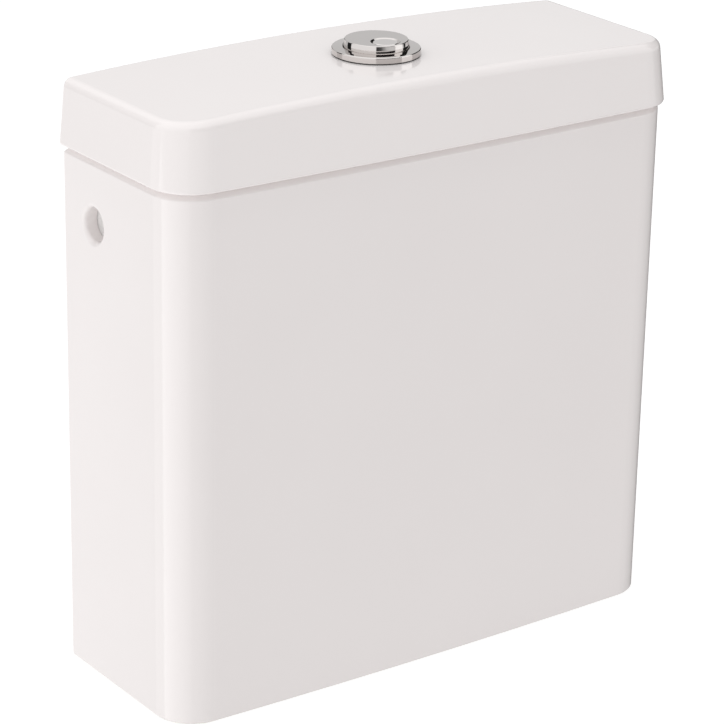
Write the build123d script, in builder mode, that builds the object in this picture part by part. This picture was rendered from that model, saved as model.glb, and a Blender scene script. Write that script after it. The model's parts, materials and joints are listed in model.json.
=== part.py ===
"""Close-coupled toilet cistern: glazed china tank and lid, dual-flush push button,
drop-type flush valve and side-entry fill valve.

Millimetres. Origin on the axis of the flush outlet, in the plane of the base rim.
+X is the right-hand side seen from the front, +Y is the back (wall side), +Z is up.
"""
import os
from math import asin, cos, degrees, radians, sin

from build123d import *

os.makedirs("parts", exist_ok=True)

# ---------------------------------------------------------------- driving sizes
# tank, plan outline
TANK_CX = 5.7                # the outlet and button sit 5.7 mm left of the middle
TANK_HALF_W = 193.0          # half of the 386 mm width
TANK_BACK = 70.0             # back wall face
TANK_FRONT = -61.0           # front wall face where it meets the side planes
TANK_BOW = 3.5               # the front bulges forward by this much in the middle
TANK_R_FRONT = 27.0          # front vertical corners
TANK_R_BACK = 2.0            # back vertical corners
TANK_H = 350.0
TANK_WALL = 9.5
TANK_SHOULDER = 3.4          # sloping shoulder round the outer top edge
TANK_SHOULDER_ROUND = 1.2    # rounding where the shoulder leaves the walls
FLOOR_BOTTOM = 24.0          # underside of the floor, recessed inside the base rim
FLOOR_TOP = 34.0
OUTLET_HOLE_R = 32.0
BOLT_X = 80.0                # pan bolt holes, left and right of the outlet
BOLT_R = 6.5
SIDE_HOLE_R = 11.0           # inlet holes high in both side walls
SIDE_HOLE_ROUND = 2.0        # soft outer edge of the right hole, under the washer
SIDE_HOLE_ROUND_LEFT = 3.2   # and of the left hole
SIDE_HOLE_Y = 35.0
SIDE_HOLE_Z = 308.0

# lid
LID_Z0 = 351.2               # lower edge, on 1.2 mm soft pads
LID_EDGE_Z = 392.8           # theoretical top edge at the sides
LID_CROWN_Z = 398.4          # top in the middle
LID_OVER = 3.2               # overhang over the tank at the front
LID_OVER_SIDE = 2.9          # and at the sides
LID_TILT = 0.45              # the crown's left end is this much higher, its right end lower
LID_DRAFT = 4.0              # the sides and front lean in by this much up to the edge
LID_BOW = 2.8
LID_R_FRONT = 28.0
LID_R_BACK = 1.7             # all round the back face
LID_WALL = 10.0
LID_TOP_T = 9.5
LID_ROUND = 6.0              # rounding of the top edge
LID_ROUND_LOW = 1.8          # rounding of the lower edge
LID_HOLE_R = 23.0
PAD_T = LID_Z0 - TANK_H

# push button
RING_R = 28.25
RING_T = 4.3
GASKET_T = 0.8
BORE_R = 21.0                # bore of ring and housing for the full-flush disc
BARREL_R = 22.4
DISC_TOP = 408.3
HALF_Y = -9.6                # the half-flush button sits forward of the centre
HALF_R = 8.0
FULL_STROKE = 5.5
HALF_STROKE = 4.5
HOUSING_Z0 = 352.0
WEB_Z0, WEB_Z1 = 370.0, 373.0

# flush valve
SEAT_Z = 48.0
TUBE_R, TUBE_RI = 17.0, 15.0
TUBE_TOP = 285.0
BRIDGE_Z0, BRIDGE_Z1 = 300.0, 304.0
PIVOT_Z = 311.0
ROD_X, ROD_Y = 8.0, 9.0      # full-flush push rod
FULL_ROD_R, HALF_ROD_R = 2.5, 2.0
SHORT_ARM, LONG_ARM = 14.0, 28.0
LIFT_PIVOT_X = ROD_X - SHORT_ARM
LATCH_PIVOT_X = SHORT_ARM
FULL_TILT = degrees(asin(FULL_STROKE / 2 / SHORT_ARM))   # lever angle at rest
HALF_TILT = degrees(asin(HALF_STROKE / 2 / SHORT_ARM))
NOSE_R = 2.5
PLAY = 0.3
RAIL_X = 39.5                # guide rail of the half-flush float
RAIL_R = 2.5

# fill valve
INLET_R = 10.48              # half-inch pipe thread, outside
SHANK_R = 10.2               # relieved length through the wall and nut
OUTER_WALL_X = TANK_CX + TANK_HALF_W
INNER_WALL_X = OUTER_WALL_X - TANK_WALL

MID = (Align.CENTER, Align.CENTER, Align.CENTER)
UP = (Align.CENTER, Align.CENTER, Align.MIN)
RIGHT = (0, 90, 0)           # turns a +Z cylinder to point along +X
FRONTBACK = (90, 0, 0)       # turns a +Z cylinder to lie along Y


def plan(half_w, back, front, bow, r_front, r_back):
    """Plan outline: straight back and sides, front bowed forward, rounded corners."""
    lo, hi = TANK_CX - half_w, TANK_CX + half_w
    with BuildSketch() as s:
        with BuildLine():
            Line((lo, back), (hi, back))
            Line((hi, back), (hi, front))
            ThreePointArc((hi, front), (TANK_CX, front - bow), (lo, front))
            Line((lo, front), (lo, back))
        make_face()
        if r_back:
            fillet(s.vertices().group_by(Axis.Y)[-1], r_back)
        fillet(s.vertices().group_by(Axis.Y)[0], r_front)
    return s.sketch


def coil(centre, z0, z1, r, wire, turns):
    """Round-wire compression spring between z0 and z1 about a vertical axis."""
    pitch = (z1 - z0 - wire) / turns
    with BuildPart() as c:
        with BuildLine(Plane(origin=(centre[0], centre[1], z0 + wire / 2))) as path:
            Helix(pitch, z1 - z0 - wire, r)
        with BuildSketch(Plane(origin=path.line @ 0, z_dir=path.line % 0)):
            Circle(wire / 2)
        sweep(is_frenet=True)
    return c.part


def save(part, name):
    part.label = name
    export_step(part, "parts/" + name + ".step")


# ---------------------------------------------------------------- tank
with BuildPart() as tank:
    with BuildSketch():
        add(plan(TANK_HALF_W, TANK_BACK, TANK_FRONT, TANK_BOW, TANK_R_FRONT, TANK_R_BACK))
    extrude(amount=TANK_H - TANK_SHOULDER)
    # sloping shoulder up to the rim
    c = TANK_SHOULDER
    with BuildSketch(Plane.XY.offset(TANK_H - c)):
        add(plan(TANK_HALF_W, TANK_BACK, TANK_FRONT, TANK_BOW, TANK_R_FRONT, TANK_R_BACK))
    with BuildSketch(Plane.XY.offset(TANK_H)):
        add(plan(TANK_HALF_W - c, TANK_BACK - c, TANK_FRONT + c, TANK_BOW, TANK_R_FRONT - c, 0.9))
    loft()
    fillet(tank.edges().filter_by(
        lambda e: abs((e @ 0).Z - (TANK_H - c)) < 0.01 and abs((e @ 1).Z - (TANK_H - c)) < 0.01),
        TANK_SHOULDER_ROUND)
    fillet(tank.faces().sort_by(Axis.Z)[-1].edges(), 0.5)
    fillet(tank.faces().sort_by(Axis.Z)[0].edges(), 1.5)
    # water space above the floor
    with BuildSketch(Plane.XY.offset(FLOOR_TOP)):
        add(plan(TANK_HALF_W - TANK_WALL, TANK_BACK - TANK_WALL, TANK_FRONT + TANK_WALL,
                 TANK_BOW, TANK_R_FRONT - TANK_WALL, 8.0))
    extrude(amount=TANK_H - FLOOR_TOP, mode=Mode.SUBTRACT)
    # recess under the floor, inside the base rim
    with BuildSketch():
        add(plan(TANK_HALF_W - TANK_WALL, TANK_BACK - TANK_WALL, TANK_FRONT + TANK_WALL,
                 TANK_BOW, TANK_R_FRONT - TANK_WALL, 8.0))
    extrude(amount=FLOOR_BOTTOM, mode=Mode.SUBTRACT)
    with Locations((0, 0, 0)):
        Cylinder(OUTLET_HOLE_R, 60, align=UP, mode=Mode.SUBTRACT)
    with Locations((-BOLT_X, 0, 0), (BOLT_X, 0, 0)):
        Cylinder(BOLT_R, 60, align=UP, mode=Mode.SUBTRACT)
    with Locations(Location((TANK_CX - TANK_HALF_W - 5, SIDE_HOLE_Y, SIDE_HOLE_Z), RIGHT)):
        Cylinder(SIDE_HOLE_R, 2 * TANK_HALF_W + 10, align=UP, mode=Mode.SUBTRACT)
    for side, radius in ((-1, SIDE_HOLE_ROUND_LEFT), (1, SIDE_HOLE_ROUND)):
        fillet(tank.edges().filter_by(GeomType.CIRCLE).filter_by(
            lambda e: abs(e.radius - SIDE_HOLE_R) < 0.01
            and abs(e.center().X - TANK_CX - side * TANK_HALF_W) < 0.1), radius)
    # soft glazed edge on the inside of the rim
    rim = tank.faces().filter_by(Axis.Z).sort_by(Axis.Z)[-1]
    fillet(rim.inner_wires()[0].edges(), 2.0)
save(tank.part, "tank")

# ---------------------------------------------------------------- foam liner
LINER_T = 5.0
LINER_GAP = 0.25
with BuildPart() as liner:
    g = TANK_WALL + LINER_GAP
    with BuildSketch(Plane.XY.offset(FLOOR_TOP)):
        add(plan(TANK_HALF_W - g, TANK_BACK - g, TANK_FRONT + g, TANK_BOW,
                 TANK_R_FRONT - g, 8.0))
    extrude(amount=300.0)
    i = g + LINER_T
    with BuildSketch(Plane.XY.offset(FLOOR_TOP + LINER_T)):
        add(plan(TANK_HALF_W - i, TANK_BACK - i, TANK_FRONT + i, TANK_BOW,
                 TANK_R_FRONT - i, 5.0))
    extrude(amount=300.0, mode=Mode.SUBTRACT)
    with Locations((0, 0, FLOOR_TOP - 1)):
        Cylinder(50.0, 12, align=UP, mode=Mode.SUBTRACT)
    with Locations((-BOLT_X, 0, FLOOR_TOP - 1), (BOLT_X, 0, FLOOR_TOP - 1)):
        Cylinder(16.0, 12, align=UP, mode=Mode.SUBTRACT)
    with Locations(Location((INNER_WALL_X - 10, SIDE_HOLE_Y, SIDE_HOLE_Z), RIGHT)):
        Cylinder(17.0, 12, align=UP, mode=Mode.SUBTRACT)
save(liner.part, "insulation_liner")

# ---------------------------------------------------------------- lid pads on the rim
with BuildPart() as pads:
    with Locations(*[(x, y, TANK_H) for x in (TANK_CX - 187.4, TANK_CX + 187.4)
                    for y in (-30.0, 45.0)]):
        Box(3.4, 18.0, PAD_T, align=UP)
save(pads.part, "lid_pads")

# ---------------------------------------------------------------- lid
LID_W = TANK_HALF_W + LID_OVER_SIDE
LID_F = TANK_FRONT - LID_OVER
RISE = 55.0                                   # the blank is cut off by the crown
IN = LID_DRAFT * RISE / (LID_EDGE_Z - LID_Z0)


def crown(z_edge, z_mid, z_low):
    """Section across the width, closed below at z_low, crowned on top."""
    a, b = LID_W - LID_DRAFT, LID_W + 12
    with BuildSketch(Plane.XZ) as s:
        with BuildLine():
            left, right = z_edge + LID_TILT, z_edge - LID_TILT
            ThreePointArc((TANK_CX - a, left), (TANK_CX, z_mid), (TANK_CX + a, right))
            Polyline((TANK_CX + a, right), (TANK_CX + b, right - 1), (TANK_CX + b, z_low),
                     (TANK_CX - b, z_low), (TANK_CX - b, left - 1), (TANK_CX - a, left))
        make_face()
    return s.sketch


with BuildPart() as lid_hollow:
    with BuildSketch(Plane.XY.offset(LID_Z0 - 1)):
        add(plan(LID_W - LID_WALL - 8, TANK_BACK - LID_WALL - 7, LID_F + LID_WALL + 8,
                 LID_BOW, 18.0, 10.0))
    with BuildSketch(Plane.XY.offset(LID_Z0 + RISE)):
        add(plan(LID_W - LID_WALL - 8 - IN, TANK_BACK - LID_WALL - 7, LID_F + LID_WALL + 8 + IN,
                 LID_BOW, 16.0, 10.0))
    loft()
    add(extrude(crown(LID_EDGE_Z - LID_TOP_T, LID_CROWN_Z - LID_TOP_T, 300), 120, both=True,
                mode=Mode.PRIVATE), mode=Mode.INTERSECT)

with BuildPart() as lid:
    with BuildSketch(Plane.XY.offset(LID_Z0)):
        add(plan(LID_W, TANK_BACK, LID_F, LID_BOW, LID_R_FRONT, 0))
    with BuildSketch(Plane.XY.offset(LID_Z0 + RISE)):
        add(plan(LID_W - IN, TANK_BACK, LID_F + IN, LID_BOW, LID_R_FRONT - 2, 0))
    loft()
    add(extrude(crown(LID_EDGE_Z, LID_CROWN_Z - 0.02, 300), 120, both=True, mode=Mode.PRIVATE),
        mode=Mode.INTERSECT)
    # front and side edges, above and below, then the outline of the back face
    for face, radius in ((-1, LID_ROUND), (0, LID_ROUND_LOW)):
        fillet(lid.faces().sort_by(Axis.Z)[face].edges().filter_by(
            lambda e: abs(e.center().Y - TANK_BACK) > 0.2), radius)
    fillet(lid.faces().filter_by(Axis.Y).sort_by(Axis.Y)[-1].outer_wire().edges(), LID_R_BACK)
    add(lid_hollow.part, mode=Mode.SUBTRACT)
    # four lugs that keep the lid from sliding on the rim
    with Locations(*[(x, y, 345.0) for x in (TANK_CX - 170.0, TANK_CX + 170.0)
                    for y in (-38.0,)]):
        Box(15.0, 11.0, 24.0, align=UP)
    with Locations(*[(x, y, 345.0) for x in (TANK_CX - 172.5, TANK_CX + 172.5)
                    for y in (50.0,)]):
        Box(14.0, 13.0, 24.0, align=UP)
    with Locations((0, 0, 370)):
        Cylinder(LID_HOLE_R, 40, align=UP, mode=Mode.SUBTRACT)
save(lid.part, "lid")

# ---------------------------------------------------------------- push button
GZ = LID_CROWN_Z + GASKET_T                   # underside of the ring
with BuildPart() as gasket:
    with BuildSketch(Plane.XY.offset(LID_CROWN_Z)):
        Circle(27.4)
        Circle(LID_HOLE_R + 0.2, mode=Mode.SUBTRACT)
    extrude(amount=GASKET_T)
save(gasket.part, "ring_gasket")

with BuildPart() as ring:
    with BuildSketch(Plane.XZ):
        with BuildLine():
            Polyline((BORE_R, GZ + 1.45), (26.05, GZ + 1.45), (26.05, GZ), (RING_R, GZ),
                     (RING_R, GZ + RING_T - 0.5), (BORE_R, GZ + RING_T), (BORE_R, GZ + 1.45))
        make_face()
    revolve(axis=Axis.Z)
    fillet(ring.edges().group_by(Axis.Z)[-1], 0.9)
    fillet(ring.edges().filter_by(lambda e: abs(e.center().Z - GZ - RING_T + 0.5) < 0.3
                                  and e.bounding_box().size.X > 2 * RING_R - 0.5), 0.7)
save(ring.part, "button_ring")

with BuildPart() as housing:
    with BuildSketch(Plane.XZ):
        with BuildLine():
            Polyline((BORE_R, HOUSING_Z0), (BARREL_R, HOUSING_Z0), (BARREL_R, GZ), (26.0, GZ),
                     (26.0, GZ + 1.4), (BORE_R, GZ + 1.4), (BORE_R, HOUSING_Z0))
        make_face()
    revolve(axis=Axis.Z)
    with Locations((0, 0, WEB_Z0)):
        Cylinder(BORE_R + 0.2, WEB_Z1 - WEB_Z0, align=UP)
    with Locations((ROD_X, ROD_Y, WEB_Z0 - 1)):
        Cylinder(FULL_ROD_R + 0.5, 8, align=UP, mode=Mode.SUBTRACT)
    with Locations((0, HALF_Y, WEB_Z0 - 1)):
        Cylinder(HALF_ROD_R + 0.5, 8, align=UP, mode=Mode.SUBTRACT)
    # drain slots in the web
    with Locations((-11, 6, WEB_Z0 - 1), (13, -6, WEB_Z0 - 1)):
        Cylinder(3.0, 8, align=UP, mode=Mode.SUBTRACT)
save(housing.part, "button_housing")

NUT_Z1 = LID_CROWN_Z - LID_TOP_T - 0.4
with BuildPart() as locknut:
    with BuildSketch(Plane.XY.offset(NUT_Z1 - 8)):
        Circle(30.0)
        with PolarLocations(30.0, 8):
            Rectangle(7.0, 7.0)
        Circle(BARREL_R + 0.03, mode=Mode.SUBTRACT)
    extrude(amount=8.0)
save(locknut.part, "button_locknut")

with BuildPart() as full:
    with BuildSketch(Plane.XZ):
        with BuildLine():
            Polyline((0, DISC_TOP - 1.8), (19.1, DISC_TOP - 1.8), (19.1, 400.0), (20.7, 400.0),
                     (20.7, 405.5), (20.15, DISC_TOP), (0, DISC_TOP), (0, DISC_TOP - 1.8))
        make_face()
    revolve(axis=Axis.Z)
    fillet(full.faces().sort_by(Axis.Z)[-1].edges(), 0.6)
    # guide tube of the half-flush button, closed below by a lip
    with Locations((0, HALF_Y, 392.0)):
        Cylinder(10.8, DISC_TOP - 1.0 - 392.0, align=UP)
        Cylinder(5.2, 30.0, align=UP, mode=Mode.SUBTRACT)
    with Locations((0, HALF_Y, 393.4)):
        Cylinder(HALF_R + 0.3, 30.0, align=UP, mode=Mode.SUBTRACT)
    # boss over the full-flush rod
    with Locations((ROD_X, ROD_Y, 397.7)):
        Cylinder(4.0, DISC_TOP - 1.0 - 397.7, align=UP)
    chamfer(full.edges().filter_by(GeomType.CIRCLE).filter_by(
        lambda e: abs(e.radius - HALF_R - 0.3) < 0.01 and e.center().Z > DISC_TOP - 0.1), 1.2)
save(full.part, "full_flush_button")

HALF_TOP = DISC_TOP - 0.25
with BuildPart() as half:
    with Locations((0, HALF_Y, HALF_TOP - 2.4)):
        Cylinder(HALF_R, 2.4, align=UP)
    with Locations((0, HALF_Y, 399.5)):
        Cylinder(HALF_R, HALF_TOP - 399.5, align=UP)
        Cylinder(HALF_R - 1.1, HALF_TOP - 2.4 - 399.5, align=UP, mode=Mode.SUBTRACT)
    with Locations((0, HALF_Y, 385.0)):
        Cylinder(4.3, HALF_TOP - 385.5, align=UP)
        Cylinder(HALF_ROD_R + 0.6, 404.0 - 385.0, align=UP, mode=Mode.SUBTRACT)
    fillet(half.faces().sort_by(Axis.Z)[-1].edges(), 0.8)
save(half.part, "half_flush_button")

save(coil((ROD_X, ROD_Y), WEB_Z1, DISC_TOP - 1.8, 4.9, 0.8, 7), "full_button_spring")
save(coil((0, HALF_Y), 393.4, HALF_TOP - 2.4, 6.3, 0.7, 5), "half_button_spring")

# ---------------------------------------------------------------- push rods
FULL_ROD_Z0 = PIVOT_Z + SHORT_ARM * sin(radians(FULL_TILT)) + NOSE_R + PLAY
HALF_ROD_Z0 = PIVOT_Z + SHORT_ARM * sin(radians(HALF_TILT)) + NOSE_R + PLAY
GUIDE_Z0, GUIDE_Z1 = 330.0, 334.0
with BuildPart() as full_rod:
    with Locations((ROD_X, ROD_Y, FULL_ROD_Z0)):
        Cylinder(FULL_ROD_R, 397.4 - FULL_ROD_Z0, align=UP)
    with Locations((ROD_X, ROD_Y, 345.0)):
        Cylinder(5.0, 3.0, align=UP)
    chamfer(full_rod.edges().group_by(Axis.Z)[-1], 0.5)
    chamfer(full_rod.edges().group_by(Axis.Z)[0], 1.6)
save(full_rod.part, "full_flush_push_rod")

with BuildPart() as half_rod:
    with Locations((0, HALF_Y, HALF_ROD_Z0)):
        Cylinder(HALF_ROD_R, 393.5 - HALF_ROD_Z0, align=UP)
    with Locations((0, HALF_Y, 345.0)):
        Cylinder(4.5, 3.0, align=UP)
    chamfer(half_rod.edges().group_by(Axis.Z)[0], 1.2)
save(half_rod.part, "half_flush_push_rod")

save(coil((0, HALF_Y), 393.5, 404.0, 1.85, 0.5, 6), "overtravel_spring")
save(coil((ROD_X, ROD_Y), GUIDE_Z1, 345.0, 3.6, 0.6, 4), "full_rod_spring")
save(coil((0, HALF_Y), GUIDE_Z1, 345.0, 3.1, 0.6, 4), "half_rod_spring")

# ---------------------------------------------------------------- flush valve, fixed pieces
with BuildPart() as basket:
    with BuildSketch(Plane.XZ):
        with BuildLine():
            Polyline((26, 0), (29.0, 0), (29.8, 1), (29.8, 37), (42, 37), (42, 41), (33, 41),
                     (30, 44), (30, SEAT_Z), (28, SEAT_Z), (27.2, SEAT_Z - 1), (27.2, 41),
                     (26, 41), (26, 0))
        make_face()
    revolve(axis=Axis.Z)
    # cage posts and ring
    with PolarLocations(39.0, 6):
        with Locations((0, 0, 41)):
            Box(6.0, 7.0, 50.0, align=UP)
    with BuildSketch(Plane.XY.offset(88)):
        Circle(42)
        with Locations((RAIL_X, HALF_Y)):
            Circle(5.5)
        Circle(35.4, mode=Mode.SUBTRACT)
    extrude(amount=6)
    with Locations((RAIL_X, HALF_Y, 89.5)):
        Cylinder(RAIL_R, 10, align=UP, mode=Mode.SUBTRACT)
save(basket.part, "valve_basket")

with BuildPart() as washer:
    with BuildSketch(Plane.XY.offset(FLOOR_TOP)):
        Circle(41)
        Circle(29.85, mode=Mode.SUBTRACT)
    extrude(amount=3.0)
save(washer.part, "outlet_washer")

with BuildPart() as backnut:
    with BuildSketch(Plane.XY.offset(FLOOR_BOTTOM - 10)):
        RegularPolygon(42, 6)
        Circle(29.85, mode=Mode.SUBTRACT)
    extrude(amount=7.0)
    with BuildSketch(Plane.XY.offset(FLOOR_BOTTOM - 3)):
        Circle(43)
        Circle(29.85, mode=Mode.SUBTRACT)
    extrude(amount=3.0)
save(backnut.part, "outlet_backnut")

with BuildPart() as seal:
    with BuildSketch(Plane.XZ):
        with BuildLine():
            Polyline((31, 2), (33, 0), (52, 0), (57, 5), (57, 20), (53, FLOOR_BOTTOM),
                     (43.5, FLOOR_BOTTOM), (43.5, 13.5), (31, 13.5), (31, 2))
        make_face()
    revolve(axis=Axis.Z)
    fillet(seal.edges().filter_by(lambda e: abs(e.center().Z - 5) < 0.1
                                  or abs(e.center().Z - 20) < 0.1), 3.0)
save(seal.part, "coupling_seal")

with BuildPart() as tower:
    # two posts on the cage ring
    with Locations((0, 32.0, 94.0), (0, -32.0, 94.0)):
        Box(14.0, 5.0, BRIDGE_Z1 - 94.0, align=UP)
    # feet that latch on the ring
    with Locations((0, 37.0, 94.0), (0, -37.0, 94.0)):
        Box(22.0, 9.0, 4.0, align=UP)
    # guide collars for the overflow tube
    with BuildSketch(Plane.XY.offset(120)):
        Circle(21)
        with Locations((0, 27), (0, -27)):
            Rectangle(10, 14)
        Circle(TUBE_R + 0.06, mode=Mode.SUBTRACT)
    extrude(amount=6)
    with BuildSketch(Plane.XY.offset(236)):
        Circle(21)
        with Locations((0, 27), (0, -27)):
            Rectangle(10, 14)
        Circle(TUBE_R + 0.06, mode=Mode.SUBTRACT)
    extrude(amount=6)
    # bridge over the tube
    with BuildSketch(Plane.XY.offset(BRIDGE_Z0)):
        with Locations((4, 0)):
            RectangleRounded(34, 69, 3)
    extrude(amount=BRIDGE_Z1 - BRIDGE_Z0)
    # ears of both levers
    with Locations(*[(LIFT_PIVOT_X, ROD_Y + s * 4.8, BRIDGE_Z1 - 0.5) for s in (-1, 1)]):
        Box(10.0, 3.0, PIVOT_Z + 4.5 - BRIDGE_Z1 + 0.5, align=UP)
    with Locations(*[(LATCH_PIVOT_X, HALF_Y + s * 4.8, BRIDGE_Z1 - 0.5) for s in (-1, 1)]):
        Box(10.0, 3.0, PIVOT_Z + 4.5 - BRIDGE_Z1 + 0.5, align=UP)
    # column and guide plate of the push rods
    with Locations((4, 0, BRIDGE_Z1 - 0.5)):
        Box(14.0, 4.4, GUIDE_Z0 - BRIDGE_Z1 + 1.0, align=UP)
    with BuildSketch(Plane.XY.offset(GUIDE_Z0)):
        with Locations((4, 0)):
            RectangleRounded(20, 32, 3)
    extrude(amount=GUIDE_Z1 - GUIDE_Z0)
    with Locations((ROD_X, ROD_Y, GUIDE_Z0 - 1)):
        Cylinder(FULL_ROD_R + 0.06, 8, align=UP, mode=Mode.SUBTRACT)
    with Locations((0, HALF_Y, GUIDE_Z0 - 1)):
        Cylinder(HALF_ROD_R + 0.06, 8, align=UP, mode=Mode.SUBTRACT)
    # bracket that carries the top of the float rail
    with BuildSketch(Plane.XY.offset(248)):
        with Locations((19, -32)):
            Rectangle(52, 5)
        with Locations((RAIL_X, -18.5)):
            Rectangle(11, 30)
    extrude(amount=5)
    with Locations((RAIL_X, HALF_Y, 240)):
        Cylinder(RAIL_R, 11.5, align=UP, mode=Mode.SUBTRACT)
    # bores of the two lever pins
    with Locations(Location((LIFT_PIVOT_X, ROD_Y, PIVOT_Z), FRONTBACK)):
        Cylinder(1.5, 16, align=MID, mode=Mode.SUBTRACT)
    with Locations(Location((LATCH_PIVOT_X, HALF_Y, PIVOT_Z), FRONTBACK)):
        Cylinder(1.5, 16, align=MID, mode=Mode.SUBTRACT)
save(tower.part, "valve_tower")

with BuildPart() as rail:
    with Locations((RAIL_X, HALF_Y, 89.5)):
        Cylinder(RAIL_R, 251.5 - 89.5, align=UP)
save(rail.part, "float_rail")

for name, x, y in (("lift_lever_pin", LIFT_PIVOT_X, ROD_Y), ("latch_lever_pin", LATCH_PIVOT_X, HALF_Y)):
    with BuildPart() as pin:
        with Locations(Location((x, y, PIVOT_Z), FRONTBACK)):
            Cylinder(1.5, 12.6, align=MID)
    save(pin.part, name)

# ---------------------------------------------------------------- flush valve, moving pieces
with BuildPart() as tube:
    with BuildSketch(Plane.XY.offset(44.5)):
        Circle(TUBE_R)
        Circle(TUBE_RI, mode=Mode.SUBTRACT)
    extrude(amount=TUBE_TOP - 44.5)
save(tube.part, "overflow_tube")

with BuildPart() as flush_seal:
    with BuildSketch(Plane.XY.offset(SEAT_Z)):
        Circle(33)
        Circle(TUBE_R + 0.03, mode=Mode.SUBTRACT)
    extrude(amount=2.5)
    chamfer(flush_seal.edges().group_by(Axis.Z)[-1].sort_by(SortBy.RADIUS)[-1], 0.8)
save(flush_seal.part, "flush_seal")

with BuildPart() as clamp:
    with BuildSketch(Plane.XY.offset(SEAT_Z - 3.2)):
        Circle(23)
        Circle(TUBE_R + 0.03, mode=Mode.SUBTRACT)
    extrude(amount=3.2)
save(clamp.part, "seal_clamp")

with BuildPart() as carrier:
    with BuildSketch(Plane.XZ):
        with BuildLine():
            Polyline((TUBE_R + 0.03, SEAT_Z + 2.5), (31.5, SEAT_Z + 2.5), (31.5, SEAT_Z + 5),
                     (22, SEAT_Z + 7), (20, SEAT_Z + 12), (TUBE_R + 0.03, SEAT_Z + 12),
                     (TUBE_R + 0.03, SEAT_Z + 2.5))
        make_face()
    revolve(axis=Axis.Z)
save(carrier.part, "seal_carrier")

with BuildPart() as tube_float:
    with BuildSketch(Plane.XZ):
        with BuildLine():
            Polyline((TUBE_R + 0.03, 82), (TUBE_R + 0.03, 61), (19.5, 61), (19.5, 79), (30, 79),
                     (30, 61), (32, 61), (32, 82), (TUBE_R + 0.03, 82))
        make_face()
    revolve(axis=Axis.Z)
    fillet(tube_float.edges().group_by(Axis.Z)[-1].sort_by(SortBy.RADIUS)[-1], 2.0)
save(tube_float.part, "tube_float")

HOOK_Z = PIVOT_Z - LONG_ARM * sin(radians(FULL_TILT)) + NOSE_R + PLAY
STRAP_X1 = LIFT_PIVOT_X - LONG_ARM - NOSE_R - 0.8
with BuildPart() as yoke:
    with BuildSketch(Plane.XY.offset(258)):
        Circle(21)
        with Locations(((STRAP_X1 - 3.7 - 18) / 2, ROD_Y)):
            Rectangle(-STRAP_X1 + 3.7 - 18, 8)
        Circle(TUBE_R + 0.03, mode=Mode.SUBTRACT)
    extrude(amount=6)
    with Locations((STRAP_X1 - 3.7, ROD_Y, 258)):
        Box(3.7, 8, HOOK_Z + 4 - 258, align=(Align.MIN, Align.CENTER, Align.MIN))
    with Locations((STRAP_X1 - 3.7, ROD_Y, HOOK_Z)):
        Box(8.0, 8, 4.0, align=(Align.MIN, Align.CENTER, Align.MIN))
save(yoke.part, "lift_yoke")


with BuildPart() as lift_lever:
    a = radians(FULL_TILT)
    rx, rz = SHORT_ARM * cos(a), SHORT_ARM * sin(a)
    lx, lz = -LONG_ARM * cos(a), -LONG_ARM * sin(a)
    with BuildSketch(Plane(origin=(LIFT_PIVOT_X, ROD_Y + 2.9, PIVOT_Z), x_dir=(1, 0, 0),
                           z_dir=(0, -1, 0))):
        Circle(4.0)
        with Locations(((lx + rx) / 2, (lz + rz) / 2)):
            SlotCenterToCenter(LONG_ARM + SHORT_ARM, 2 * NOSE_R, rotation=FULL_TILT)
        Circle(1.56, mode=Mode.SUBTRACT)
    extrude(amount=5.8)
save(lift_lever.part, "lift_lever")

with BuildPart() as latch:
    a = radians(HALF_TILT)
    with BuildSketch(Plane(origin=(LATCH_PIVOT_X, HALF_Y + 2.9, PIVOT_Z), x_dir=(1, 0, 0),
                           z_dir=(0, -1, 0))):
        Circle(4.0)
        with Locations((-SHORT_ARM * cos(a) / 2, SHORT_ARM * sin(a) / 2)):
            SlotCenterToCenter(SHORT_ARM, 2 * NOSE_R, rotation=-HALF_TILT)
        with Locations((6.5, 0)):
            SlotCenterToCenter(13, 5)
        with Locations((13, -20)):
            SlotCenterToCenter(40, 5, rotation=90)
        with Locations((15.5, -40)):
            SlotCenterToCenter(5, 5)
        Circle(1.56, mode=Mode.SUBTRACT)
    extrude(amount=5.8)
save(latch.part, "half_flush_latch")

with BuildPart() as half_float:
    with Locations((RAIL_X, HALF_Y, 192)):
        Cylinder(13.0, 40, align=UP)
    fillet(half_float.edges().group_by(Axis.Z)[-1], 2.0)
    with BuildSketch(Plane.XY.offset(190)):
        with Locations((RAIL_X, HALF_Y)):
            Circle(11.2)
            Circle(5.0, mode=Mode.SUBTRACT)
    extrude(amount=38, mode=Mode.SUBTRACT)
    with Locations((RAIL_X, HALF_Y, 180)):
        Cylinder(RAIL_R + 0.06, 80, align=UP, mode=Mode.SUBTRACT)
save(half_float.part, "half_flush_float")

# ---------------------------------------------------------------- fill valve
FY, FZ = SIDE_HOLE_Y, SIDE_HOLE_Z
with BuildPart() as shank:
    with Locations(Location((OUTER_WALL_X - 21.0, FY, FZ), RIGHT)):
        Cylinder(SHANK_R, 32.5, align=UP)
    with Locations(Location((OUTER_WALL_X + 11.0, FY, FZ), RIGHT)):
        Cylinder(INLET_R, 18.0, align=UP)
    with Locations(Location((INNER_WALL_X - 5.0, FY, FZ), RIGHT)):
        Cylinder(15.0, 3.0, align=UP)
    chamfer(shank.edges().group_by(Axis.X)[-1], 0.8)
    with Locations(Location((OUTER_WALL_X - 22.0, FY, FZ), RIGHT)):
        Cylinder(6.0, 60.0, align=UP, mode=Mode.SUBTRACT)
save(shank.part, "fill_shank")

with BuildPart() as strainer:
    with Locations(Location((OUTER_WALL_X + 12.0, FY, FZ), RIGHT)):
        Cylinder(5.0, 15.0, align=UP)
    with Locations(Location((OUTER_WALL_X + 26.0, FY, FZ), RIGHT)):
        Cylinder(5.95, 2.0, align=UP)
    with Locations(Location((OUTER_WALL_X + 13.5, FY, FZ), RIGHT)):
        Cylinder(4.0, 20.0, align=UP, mode=Mode.SUBTRACT)
save(strainer.part, "inlet_strainer")

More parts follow.
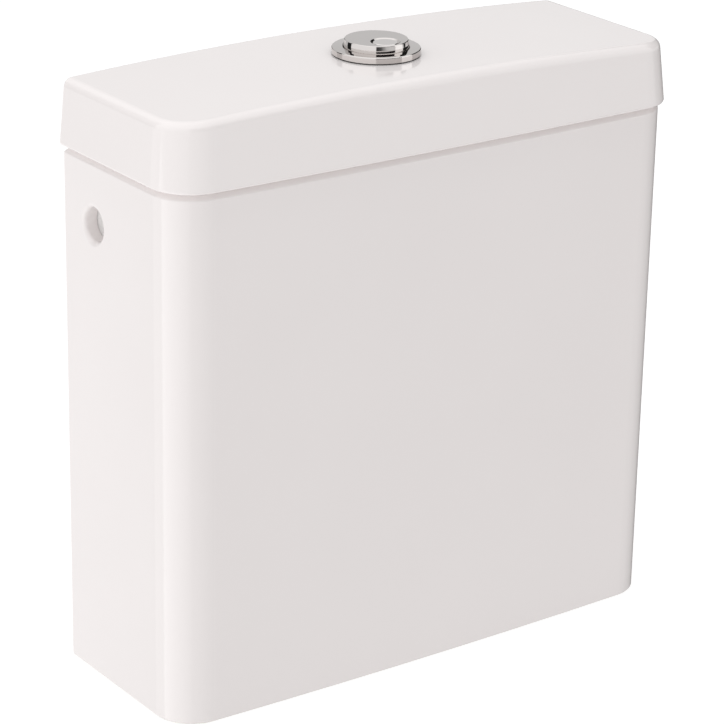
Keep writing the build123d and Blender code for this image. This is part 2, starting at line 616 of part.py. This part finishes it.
with BuildPart() as w_in:
    with Locations(Location((INNER_WALL_X - 2.0, FY, FZ), RIGHT)):
        Cylinder(15.0, 2.0, align=UP)
        Cylinder(SHANK_R + 0.03, 2.0, align=UP, mode=Mode.SUBTRACT)
save(w_in.part, "inner_washer")

with BuildPart() as w_out:
    with Locations(Location((OUTER_WALL_X, FY, FZ), RIGHT)):
        Cylinder(15.5, 2.0, align=UP)
        Cylinder(SHANK_R + 0.03, 2.0, align=UP, mode=Mode.SUBTRACT)
save(w_out.part, "outer_washer")

with BuildPart() as inlet_nut:
    with BuildSketch(Plane(origin=(OUTER_WALL_X + 2.0, FY, FZ), x_dir=(0, 1, 0), z_dir=(1, 0, 0))):
        RegularPolygon(17.0, 6)
        Circle(SHANK_R + 0.03, mode=Mode.SUBTRACT)
    extrude(amount=8.0)
save(inlet_nut.part, "inlet_backnut")

HEAD_X = OUTER_WALL_X - 59.0
SPOUT_X = HEAD_X + 10.0
with BuildPart() as body:
    with Locations(Location((HEAD_X - 6, FY, FZ), RIGHT)):
        Cylinder(17.0, 12.0, align=UP)
    with Locations(Location((HEAD_X, FY, FZ), RIGHT)):
        Cylinder(13.0, INNER_WALL_X - 5.0 - HEAD_X, align=UP)
    # socket on the shank and waterway to the head
    with Locations(Location((OUTER_WALL_X - 21.0, FY, FZ), RIGHT)):
        Cylinder(SHANK_R + 0.03, 20.0, align=UP, mode=Mode.SUBTRACT)
    with Locations(Location((HEAD_X + 8, FY, FZ), RIGHT)):
        Cylinder(6.0, 40.0, align=UP, mode=Mode.SUBTRACT)
    # outlet spigot for the silencer tube
    with Locations((SPOUT_X, FY, FZ - 30)):
        Cylinder(6.0, 20.0, align=UP)
        Cylinder(4.5, 26.0, align=UP, mode=Mode.SUBTRACT)
save(body.part, "fill_valve_body")

with BuildPart() as diaphragm:
    with Locations(Location((HEAD_X - 8, FY, FZ), RIGHT)):
        Cylinder(15.5, 2.0, align=UP)
save(diaphragm.part, "fill_diaphragm")

CAP_X = HEAD_X - 18.0
PIV_X, PIV_Z = CAP_X - 8.0, 292.0
with BuildPart() as cap:
    with Locations(Location((CAP_X, FY, FZ), RIGHT)):
        Cylinder(19.0, 16.0, align=UP)
    with Locations(Location((CAP_X + 10.0, FY, FZ), RIGHT)):
        Cylinder(17.05, 8.0, align=UP, mode=Mode.SUBTRACT)
    # pilot nozzle
    with Locations(Location((CAP_X - 3.0, FY, FZ), RIGHT)):
        Cylinder(2.0, 4.0, align=UP)
    # ears of the float arm
    with Locations((CAP_X - 7.0, FY + 6.8, PIV_Z - 5), (CAP_X - 7.0, FY - 6.8, PIV_Z - 5)):
        Box(10.0, 3.0, 12.0, align=UP)
    with Locations((CAP_X - 1.0, FY + 6.8, PIV_Z - 5), (CAP_X - 1.0, FY - 6.8, PIV_Z - 5)):
        Box(4.0, 3.0, 16.0, align=UP)
    with Locations(Location((PIV_X, FY, PIV_Z), FRONTBACK)):
        Cylinder(1.5, 20, align=MID, mode=Mode.SUBTRACT)
save(cap.part, "fill_valve_cap")

with BuildPart() as arm_pin:
    with Locations(Location((PIV_X, FY, PIV_Z), FRONTBACK)):
        Cylinder(1.5, 16.6, align=MID)
save(arm_pin.part, "float_arm_pin")

FLOAT_X = PIV_X - 50.0
with BuildPart() as arm:
    with BuildSketch(Plane(origin=(PIV_X, FY + 5.0, PIV_Z), x_dir=(1, 0, 0), z_dir=(0, -1, 0))):
        Circle(4.0)
        # upright that closes the pilot nozzle
        with Locations((0.35, 10.5)):
            Rectangle(8.7, 21)
        # arm out to the float
        with Locations((-27, 15)):
            Rectangle(50, 5)
        Circle(1.56, mode=Mode.SUBTRACT)
    extrude(amount=10.0)
    with Locations((FLOAT_X, FY, PIV_Z + 12)):
        Cylinder(6.0, 8.0, align=UP)
    with Locations((FLOAT_X, FY, PIV_Z + 10)):
        Cylinder(2.55, 12.0, align=UP, mode=Mode.SUBTRACT)
save(arm.part, "float_arm")

with BuildPart() as screw:
    with Locations((FLOAT_X, FY, 268.0)):
        Cylinder(2.5, 50.0, align=UP)
    with Locations((FLOAT_X, FY, 316.0)):
        Cylinder(5.0, 4.0, align=UP)
    with Locations((FLOAT_X, FY, 319.0)):
        Box(8.0, 1.2, 2.0, align=UP, mode=Mode.SUBTRACT)
save(screw.part, "float_screw")

with BuildPart() as cup:
    with Locations((FLOAT_X, FY, 250.0)):
        Cylinder(16.0, 42.0, align=UP)
    fillet(cup.edges().group_by(Axis.Z)[-1], 3.0)
    with Locations((FLOAT_X, FY, 248.0)):
        Cylinder(14.4, 40.0, align=UP, mode=Mode.SUBTRACT)
    with Locations((FLOAT_X, FY, 268.0)):
        Cylinder(4.5, 22.0, align=UP)
        Cylinder(2.55, 30.0, align=UP, mode=Mode.SUBTRACT)
save(cup.part, "float_cup")

with BuildPart() as silencer:
    with BuildSketch(Plane.XY.offset(60)):
        with Locations((SPOUT_X, FY)):
            Circle(8.0)
            Circle(6.03, mode=Mode.SUBTRACT)
    extrude(amount=FZ - 17.5 - 60)
save(silencer.part, "silencer_tube")

print("full tilt %.3f half tilt %.3f hook z %.2f" % (FULL_TILT, HALF_TILT, HOOK_Z))
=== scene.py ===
import json
import math

import bmesh
import bpy
import numpy as np
from mathutils import Matrix, Vector

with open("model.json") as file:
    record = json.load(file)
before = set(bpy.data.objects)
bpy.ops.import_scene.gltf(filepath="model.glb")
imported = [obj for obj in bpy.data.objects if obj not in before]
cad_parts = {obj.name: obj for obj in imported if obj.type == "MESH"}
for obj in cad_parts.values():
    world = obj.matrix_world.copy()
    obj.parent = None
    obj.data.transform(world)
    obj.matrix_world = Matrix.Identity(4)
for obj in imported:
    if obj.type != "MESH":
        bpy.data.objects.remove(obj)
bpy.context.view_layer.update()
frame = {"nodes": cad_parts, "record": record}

NODES = frame["nodes"]
scene = bpy.context.scene
MM = 0.001

# ------------------------------------------------------------------ camera
YAW, PITCH, ROLL = 0.6327756991, 0.3675579332, 0.0217174940
FOCAL_PX, CX_PX, CY_PX = 0.5335579724 * 5539.2208487, 377.594582, 356.592551
DIST = 5539.2208487 * 0.35 * MM
AIM = Vector(((-0.0642978 * 0.35 + 6.27) * MM, (-200.159254 * 0.35 + 70.0) * MM,
              550.007007 * 0.35 * MM))
fwd = Vector((math.sin(YAW) * math.cos(PITCH), math.cos(YAW) * math.cos(PITCH), -math.sin(PITCH)))
right = Vector((math.cos(YAW), -math.sin(YAW), 0.0))
up = right.cross(fwd)
r_axis = right * math.cos(ROLL) + up * math.sin(ROLL)
u_axis = -right * math.sin(ROLL) + up * math.cos(ROLL)
cam_data = bpy.data.cameras.new("camera")
cam = bpy.data.objects.new("camera", cam_data)
scene.collection.objects.link(cam)
rot = Matrix((r_axis, u_axis, -fwd)).transposed()
cam.matrix_world = Matrix.Translation(AIM - fwd * DIST) @ rot.to_4x4()
cam_data.sensor_width = 36.0
cam_data.lens = FOCAL_PX / 724.0 * 36.0
cam_data.shift_x = (362.0 - CX_PX) / 724.0
cam_data.shift_y = (CY_PX - 362.0) / 724.0
cam_data.clip_start, cam_data.clip_end = 0.05, 60.0
scene.camera = cam
CAM_AZ = math.atan2(-fwd.y, -fwd.x)          # azimuth of the direction from object to camera


# ------------------------------------------------------------------ material helpers
class Nodes:
    """A material's node tree with short calls for the nodes used here."""

    def __init__(self, name):
        self.mat = bpy.data.materials.new(name)
        self.mat.use_nodes = True
        self.tree = self.mat.node_tree
        self.tree.nodes.clear()
        self.out = self.tree.nodes.new("ShaderNodeOutputMaterial")
        self.bsdf = self.tree.nodes.new("ShaderNodeBsdfPrincipled")
        self.tree.links.new(self.bsdf.outputs[0], self.out.inputs[0])
        self.coord = self.tree.nodes.new("ShaderNodeTexCoord").outputs["Object"]

    def link(self, a, b):
        self.tree.links.new(a, b)

    def set(self, **values):
        for key, value in values.items():
            self.bsdf.inputs[key.replace("_", " ")].default_value = value
        return self

    def noise(self, scale, detail=3.0, rough=0.5, coord=None):
        n = self.tree.nodes.new("ShaderNodeTexNoise")
        n.inputs["Scale"].default_value = scale
        n.inputs["Detail"].default_value = detail
        n.inputs["Roughness"].default_value = rough
        self.link(coord or self.coord, n.inputs["Vector"])
        return n.outputs["Fac"]

    def voronoi(self, scale, feature="F1", out="Distance", coord=None):
        n = self.tree.nodes.new("ShaderNodeTexVoronoi")
        n.feature = feature
        n.inputs["Scale"].default_value = scale
        self.link(coord or self.coord, n.inputs["Vector"])
        return n.outputs[out]

    def scaled(self, x, y, z):
        n = self.tree.nodes.new("ShaderNodeMapping")
        n.inputs["Scale"].default_value = (x, y, z)
        self.link(self.coord, n.inputs["Vector"])
        return n.outputs[0]

    def ramp(self, fac, lo, hi, a=0.0, b=1.0):
        n = self.tree.nodes.new("ShaderNodeMapRange")
        n.inputs["From Min"].default_value = lo
        n.inputs["From Max"].default_value = hi
        n.inputs["To Min"].default_value = a
        n.inputs["To Max"].default_value = b
        n.interpolation_type = "SMOOTHSTEP"
        self.link(fac, n.inputs["Value"])
        return n.outputs["Result"]

    def math(self, op, a, b=None):
        n = self.tree.nodes.new("ShaderNodeMath")
        n.operation = op
        for k, v in enumerate((a, b)):
            if v is None:
                continue
            if isinstance(v, (int, float)):
                n.inputs[k].default_value = v
            else:
                self.link(v, n.inputs[k])
        return n.outputs[0]

    def mix(self, fac, a, b):
        n = self.tree.nodes.new("ShaderNodeMix")
        n.data_type = "RGBA"
        self.link(fac, n.inputs["Factor"])
        for k, v in ((6, a), (7, b)):
            if isinstance(v, tuple):
                n.inputs[k].default_value = (*v, 1.0)
            else:
                self.link(v, n.inputs[k])
        return n.outputs[2]

    def colour(self, socket):
        self.link(socket, self.bsdf.inputs["Base Color"])

    def rough(self, socket):
        self.link(socket, self.bsdf.inputs["Roughness"])

    def bump(self, *layers):
        """layers of (height, distance in metres), each laid over the last."""
        last = None
        for height, distance in layers:
            n = self.tree.nodes.new("ShaderNodeBump")
            n.inputs["Strength"].default_value = 1.0
            n.inputs["Distance"].default_value = distance
            self.link(height, n.inputs["Height"])
            if last is not None:
                self.link(last, n.inputs["Normal"])
            last = n.outputs[0]
        self.link(last, self.bsdf.inputs["Normal"])

    def position(self, axis):
        n = self.tree.nodes.new("ShaderNodeSeparateXYZ")
        self.link(self.coord, n.inputs[0])
        return n.outputs[axis]


def china():
    m = Nodes("glazed_china")
    cloud = m.noise(9.0, 2.0)
    speck = m.ramp(m.voronoi(160.0), 0.0, 0.045, 1.0, 0.0)
    rare = m.ramp(m.noise(31.0, 0.0), 0.70, 0.74)
    glaze = m.mix(m.ramp(cloud, 0.3, 0.7), (0.876, 0.832, 0.824), (0.884, 0.840, 0.832))
    glaze = m.mix(m.math("MULTIPLY", m.math("MULTIPLY", speck, rare), 0.35), glaze,
                  (0.55, 0.50, 0.44))
    # bare biscuit on the foot of the base rim; its tone is set darker than bare biscuit to also
    # paint the shade line along the bottom edge
    foot = m.ramp(m.position("Z"), 0.0004, 0.0012, 1.0, 0.0)
    grit = m.noise(900.0, 4.0, 0.7)
    biscuit_and_shade = m.mix(grit, (0.60, 0.565, 0.52), (0.74, 0.71, 0.67))
    # the darker foot band is partly real biscuit and partly painted shade along the bottom edge
    m.colour(m.mix(foot, glaze, biscuit_and_shade))
    m.rough(m.math("ADD", m.ramp(m.noise(14.0, 3.0), 0.3, 0.7, 0.085, 0.125),
                   m.math("MULTIPLY", foot, 0.62)))
    m.bump((m.noise(16.0, 1.0), 0.00006), (m.noise(420.0, 1.0), 0.000006),
           (m.math("MULTIPLY", grit, foot), 0.00012))
    m.set(IOR=1.5)
    return m.mat


def chrome(name, low, high):
    m = Nodes(name)
    m.set(Metallic=1.0)
    m.colour(m.mix(m.noise(40.0, 2.0), low, high))
    m.rough(m.ramp(m.noise(160.0, 4.0, 0.6), 0.3, 0.8, 0.025, 0.06))
    m.bump((m.noise(55.0, 1.0), 0.00001),)
    return m.mat


def plastic(name, low, high, rough=(0.32, 0.45), grain=0.00001):
    m = Nodes(name)
    m.colour(m.mix(m.ramp(m.noise(35.0, 3.0), 0.3, 0.7), low, high))
    m.rough(m.ramp(m.noise(240.0, 3.0), 0.3, 0.7, *rough))
    flow = m.noise(60.0, 2.0, coord=m.scaled(1.0, 1.0, 0.12))
    m.bump((flow, 0.00006), (m.noise(1900.0, 2.0, 0.6), grain))
    m.set(IOR=1.47)
    return m.mat


def rubber(name, low, high, cell=0.0):
    m = Nodes(name)
    m.colour(m.mix(m.ramp(m.noise(60.0, 4.0, 0.6), 0.3, 0.75), low, high))
    m.rough(m.ramp(m.noise(400.0, 3.0), 0.3, 0.7, 0.55, 0.78))
    if cell:
        m.bump((m.voronoi(cell), 0.0002), (m.noise(1500.0, 2.0), 0.00002))
    else:
        m.bump((m.noise(1100.0, 3.0, 0.6), 0.00002),)
    m.set(IOR=1.45)
    return m.mat


def bead_foam():
    m = Nodes("bead_foam")
    # the bead boundaries are grooved and coloured darker: painted shade in the creases between
    # beads
    edge = m.ramp(m.voronoi(290.0, "DISTANCE_TO_EDGE"), 0.0, 0.10)
    tone = m.mix(m.ramp(m.voronoi(290.0, "F1", "Color"), 0.0, 1.0), (0.75, 0.74, 0.73),
                 (0.78, 0.77, 0.76))
    m.colour(m.mix(edge, (0.69, 0.68, 0.67), tone))
    m.rough(m.ramp(m.noise(300.0, 2.0), 0.3, 0.7, 0.5, 0.7))
    m.bump((edge, 0.00006), (m.noise(2400.0, 2.0), 0.00001))
    m.set(IOR=1.4)
    return m.mat


def soft_pad():
    m = Nodes("clear_bumper")
    m.colour(m.mix(m.noise(200.0, 2.0), (0.60, 0.61, 0.60), (0.70, 0.71, 0.70)))
    m.rough(m.ramp(m.noise(500.0, 2.0), 0.3, 0.7, 0.25, 0.4))
    m.bump((m.noise(700.0, 2.0), 0.00001),)
    return m.mat


def steel():
    m = Nodes("drawn_steel")
    m.set(Metallic=1.0)
    m.colour(m.mix(m.noise(150.0, 3.0), (0.50, 0.50, 0.49), (0.60, 0.60, 0.59)))
    m.rough(m.ramp(m.noise(500.0, 3.0), 0.3, 0.7, 0.22, 0.36))
    m.bump((m.noise(900.0, 3.0), 0.000008),)
    return m.mat


def brass():
    m = Nodes("machined_brass")
    m.set(Metallic=1.0)
    m.colour(m.mix(m.ramp(m.noise(90.0, 3.0), 0.3, 0.7), (0.56, 0.40, 0.17), (0.68, 0.51, 0.24)))
    m.rough(m.ramp(m.noise(260.0, 3.0), 0.3, 0.7, 0.22, 0.34))
    turned = m.noise(5200.0, 0.0, coord=m.scaled(1.0, 0.01, 0.01))
    m.bump((turned, 0.000008),)
    return m.mat


SLOT_LOOK = {
    "china": china(),
    "foam": bead_foam(),
    "soft_pad": soft_pad(),
    "chrome": chrome("bright_chrome", (0.640, 0.608, 0.592), (0.670, 0.638, 0.622)),
    "gasket_rubber": rubber("moulded_rubber", (0.020, 0.020, 0.021), (0.045, 0.045, 0.046)),
    "seal_foam": rubber("foam_rubber", (0.030, 0.030, 0.031), (0.062, 0.062, 0.062), 900.0),
    "white_plastic": plastic("white_plastic", (0.74, 0.74, 0.71), (0.79, 0.79, 0.765)),
    "grey_plastic": plastic("grey_plastic", (0.19, 0.205, 0.22), (0.23, 0.245, 0.26)),
    "blue_plastic": plastic("blue_plastic", (0.022, 0.085, 0.24), (0.032, 0.11, 0.29)),
    "steel": steel(),
    "brass": brass(),
}
NODE_SLOT = {s["node"]: s["material_slot"] for s in frame["record"]["subparts"]}


def paint(obj, look):
    obj.data.materials.clear()
    obj.data.materials.append(look)
    for p in obj.data.polygons:
        p.material_index = 0


for name, obj in NODES.items():
    paint(obj, SLOT_LOOK[NODE_SLOT[name]])
# the small button's face gets a brighter copy of the chrome than the disc around it: a painted
# brighter reflection
paint(NODES["half_flush_button"],
      chrome("brighter_reflection_chrome", (0.76, 0.730, 0.712), (0.79, 0.760, 0.742)))


# ------------------------------------------------------------------ studio
def plane(name, size, z):
    mesh = bpy.data.meshes.new(name)
    h = size / 2
    mesh.from_pydata([(-h, -h, z), (h, -h, z), (h, h, z), (-h, h, z)], [], [(0, 1, 2, 3)])
    obj = bpy.data.objects.new(name, mesh)
    scene.collection.objects.link(obj)
    return obj


WORLD_LEVEL = 0.63
WORLD_LEAN = (-0.21, 0.0, 0.0)
floor = plane("studio_floor", 40.0, -0.0002)
m = Nodes("pale_floor")
m.colour(m.mix(m.noise(3.0, 2.0), (0.29, 0.29, 0.29), (0.31, 0.31, 0.31)))
m.set(Roughness=0.9, Emission_Color=(1.0, 1.0, 1.0, 1.0), Emission_Strength=0.78)
m.mat.cycles.emission_sampling = "NONE"
floor.data.materials.append(m.mat)
floor.visible_glossy = False

world = bpy.data.worlds.new("studio")
scene.world = world
world.use_nodes = True
w = world.node_tree
back = w.nodes["Background"]
back.inputs[0].default_value = (1.0, 1.0, 1.0, 1.0)
# soft light from all round, fuller from the left and from above
lean = w.nodes.new("ShaderNodeVectorMath")
lean.operation = "DOT_PRODUCT"
w.links.new(w.nodes.new("ShaderNodeTexCoord").outputs["Generated"], lean.inputs[0])
lean.inputs[1].default_value = WORLD_LEAN
level = w.nodes.new("ShaderNodeMath")
level.operation = "ADD"
level.inputs[1].default_value = WORLD_LEVEL
w.links.new(lean.outputs["Value"], level.inputs[0])
w.links.new(level.outputs[0], back.inputs[1])
world.cycles_visibility.glossy = False


def softbox(name, az_deg, el_deg, dist, size, power):
    """Area light at an azimuth measured from the camera side, positive to the camera's right."""
    data = bpy.data.lights.new(name, "AREA")
    data.shape = "RECTANGLE"
    data.size, data.size_y = size
    data.energy = power
    obj = bpy.data.objects.new(name, data)
    scene.collection.objects.link(obj)
    a = CAM_AZ + math.radians(az_deg)
    e = math.radians(el_deg)
    place = Vector((math.cos(a) * math.cos(e), math.sin(a) * math.cos(e), math.sin(e))) * dist
    place += Vector((0, 0, 0.2))
    obj.location = place
    obj.rotation_mode = "QUATERNION"
    obj.rotation_quaternion = (Vector((0, 0, 0.2)) - place).to_track_quat("-Z", "Y")
    obj.visible_glossy = False
    return obj


softbox("key_left", -50, 10, 3.0, (1.6, 1.0), 8.5)
softbox("overhead", 0, 90, 3.0, (1.2, 1.2), 31.0)

# what the gloss sees: a large dome that only reflections look up
dome_mesh = bpy.data.meshes.new("reflection_dome")
bm = bmesh.new()
bmesh.ops.create_uvsphere(bm, u_segments=96, v_segments=48, radius=12.0)
bmesh.ops.reverse_faces(bm, faces=bm.faces)
bm.to_mesh(dome_mesh)
bm.free()
dome = bpy.data.objects.new("reflection_dome", dome_mesh)
scene.collection.objects.link(dome)
dm = bpy.data.materials.new("reflection_dome")
dm.use_nodes = True
t = dm.node_tree
t.nodes.clear()
out = t.nodes.new("ShaderNodeOutputMaterial")
emit = t.nodes.new("ShaderNodeEmission")
t.links.new(emit.outputs[0], out.inputs[0])
co = t.nodes.new("ShaderNodeTexCoord").outputs["Object"]
sep = t.nodes.new("ShaderNodeSeparateXYZ")
t.links.new(co, sep.inputs[0])


def tmath(op, a, b=None):
    n = t.nodes.new("ShaderNodeMath")
    n.operation = op
    for k, v in enumerate((a, b)):
        if v is None:
            continue
        if isinstance(v, (int, float)):
            n.inputs[k].default_value = v
        else:
            t.links.new(v, n.inputs[k])
    return n.outputs[0]


# azimuth in degrees from the camera side, positive to the camera's right; elevation in degrees
ca, sa = math.cos(CAM_AZ), math.sin(CAM_AZ)
along = tmath("ADD", tmath("MULTIPLY", sep.outputs[0], ca), tmath("MULTIPLY", sep.outputs[1], sa))
side = tmath("ADD", tmath("MULTIPLY", sep.outputs[0], -sa), tmath("MULTIPLY", sep.outputs[1], ca))
azim = tmath("MULTIPLY", tmath("ARCTAN2", side, along), 180.0 / math.pi)
flat = tmath("SQRT", tmath("ADD", tmath("MULTIPLY", along, along), tmath("MULTIPLY", side, side)))
elev = tmath("MULTIPLY", tmath("ARCTAN2", sep.outputs[2], flat), 180.0 / math.pi)


def band(v, lo, hi, soft=1.0):
    """1 between lo and hi degrees, 0 outside, with soft edges."""
    a = tmath("DIVIDE", tmath("SUBTRACT", v, lo), soft)
    b = tmath("DIVIDE", tmath("SUBTRACT", hi, v), soft)
    n = tmath("MINIMUM", a, b)
    n = tmath("MAXIMUM", tmath("MINIMUM", n, 1.0), 0.0)
    return n


def slope(v, lo, at_lo, hi, at_hi):
    """Straight line through (lo, at_lo) and (hi, at_hi)."""
    k = (at_hi - at_lo) / (hi - lo)
    return tmath("ADD", tmath("MULTIPLY", v, k), at_lo - k * lo)


def card(value, az, el, strength, soft=1.0):
    """value, with a card of that brightness laid over it."""
    mask = tmath("MULTIPLY", band(azim, *az, soft), band(elev, *el, soft))
    keep = tmath("SUBTRACT", 1.0, mask)
    return tmath("ADD", tmath("MULTIPLY", value, keep), tmath("MULTIPLY", mask, strength))


sky = tmath("ADD", 0.70, tmath("MULTIPLY", band(elev, 30, 200, 25.0), 0.60))   # brighter overhead
sky = card(sky, (0, 104), (-9, 8), 0.78)
sky = card(sky, (140, 167), (-12, 8), 0.02)
sky = card(sky, (-167, -140), (-12, 10), 0.02)
sky = card(sky, (-180, -112.0), (-80, -5), 1.0, 0.2)
sky = card(sky, (-112.0, -107.5), (-80, -5), 0.62, 0.2)
sky = card(sky, (-107.5, -77), (-80, -5), 0.98, 2.0)
sky = card(sky, (0, 104), (-80, -9), 0.15)
sky = card(sky, (104, 180), (-80, 0), 0.01)
sky = card(sky, (-77, 0), (-80, -5), slope(azim, -77, 2.35, 20, 0.15), 0.4)
sky = card(sky, (-97, 0), (-5, 40), 1.10)
sky = card(sky, (-120, -97), (-5, 40), 0.02)
sky = card(sky, (0, 70), (8, 40), 0.015)
sky = card(sky, (70, 107), (0, 40), 1.35)
sky = card(sky, (107, 165), (8, 40), 0.02)
t.links.new(sky, emit.inputs["Strength"])
dm.cycles.emission_sampling = "NONE"
dome.data.materials.append(dm)
dome.visible_camera = dome.visible_diffuse = dome.visible_shadow = False
dome.visible_transmission = dome.visible_volume_scatter = False

scene.view_settings.view_transform = "Standard"
scene.view_settings.look = "None"
scene.cycles.max_bounces = 10
scene.cycles.caustics_reflective = False
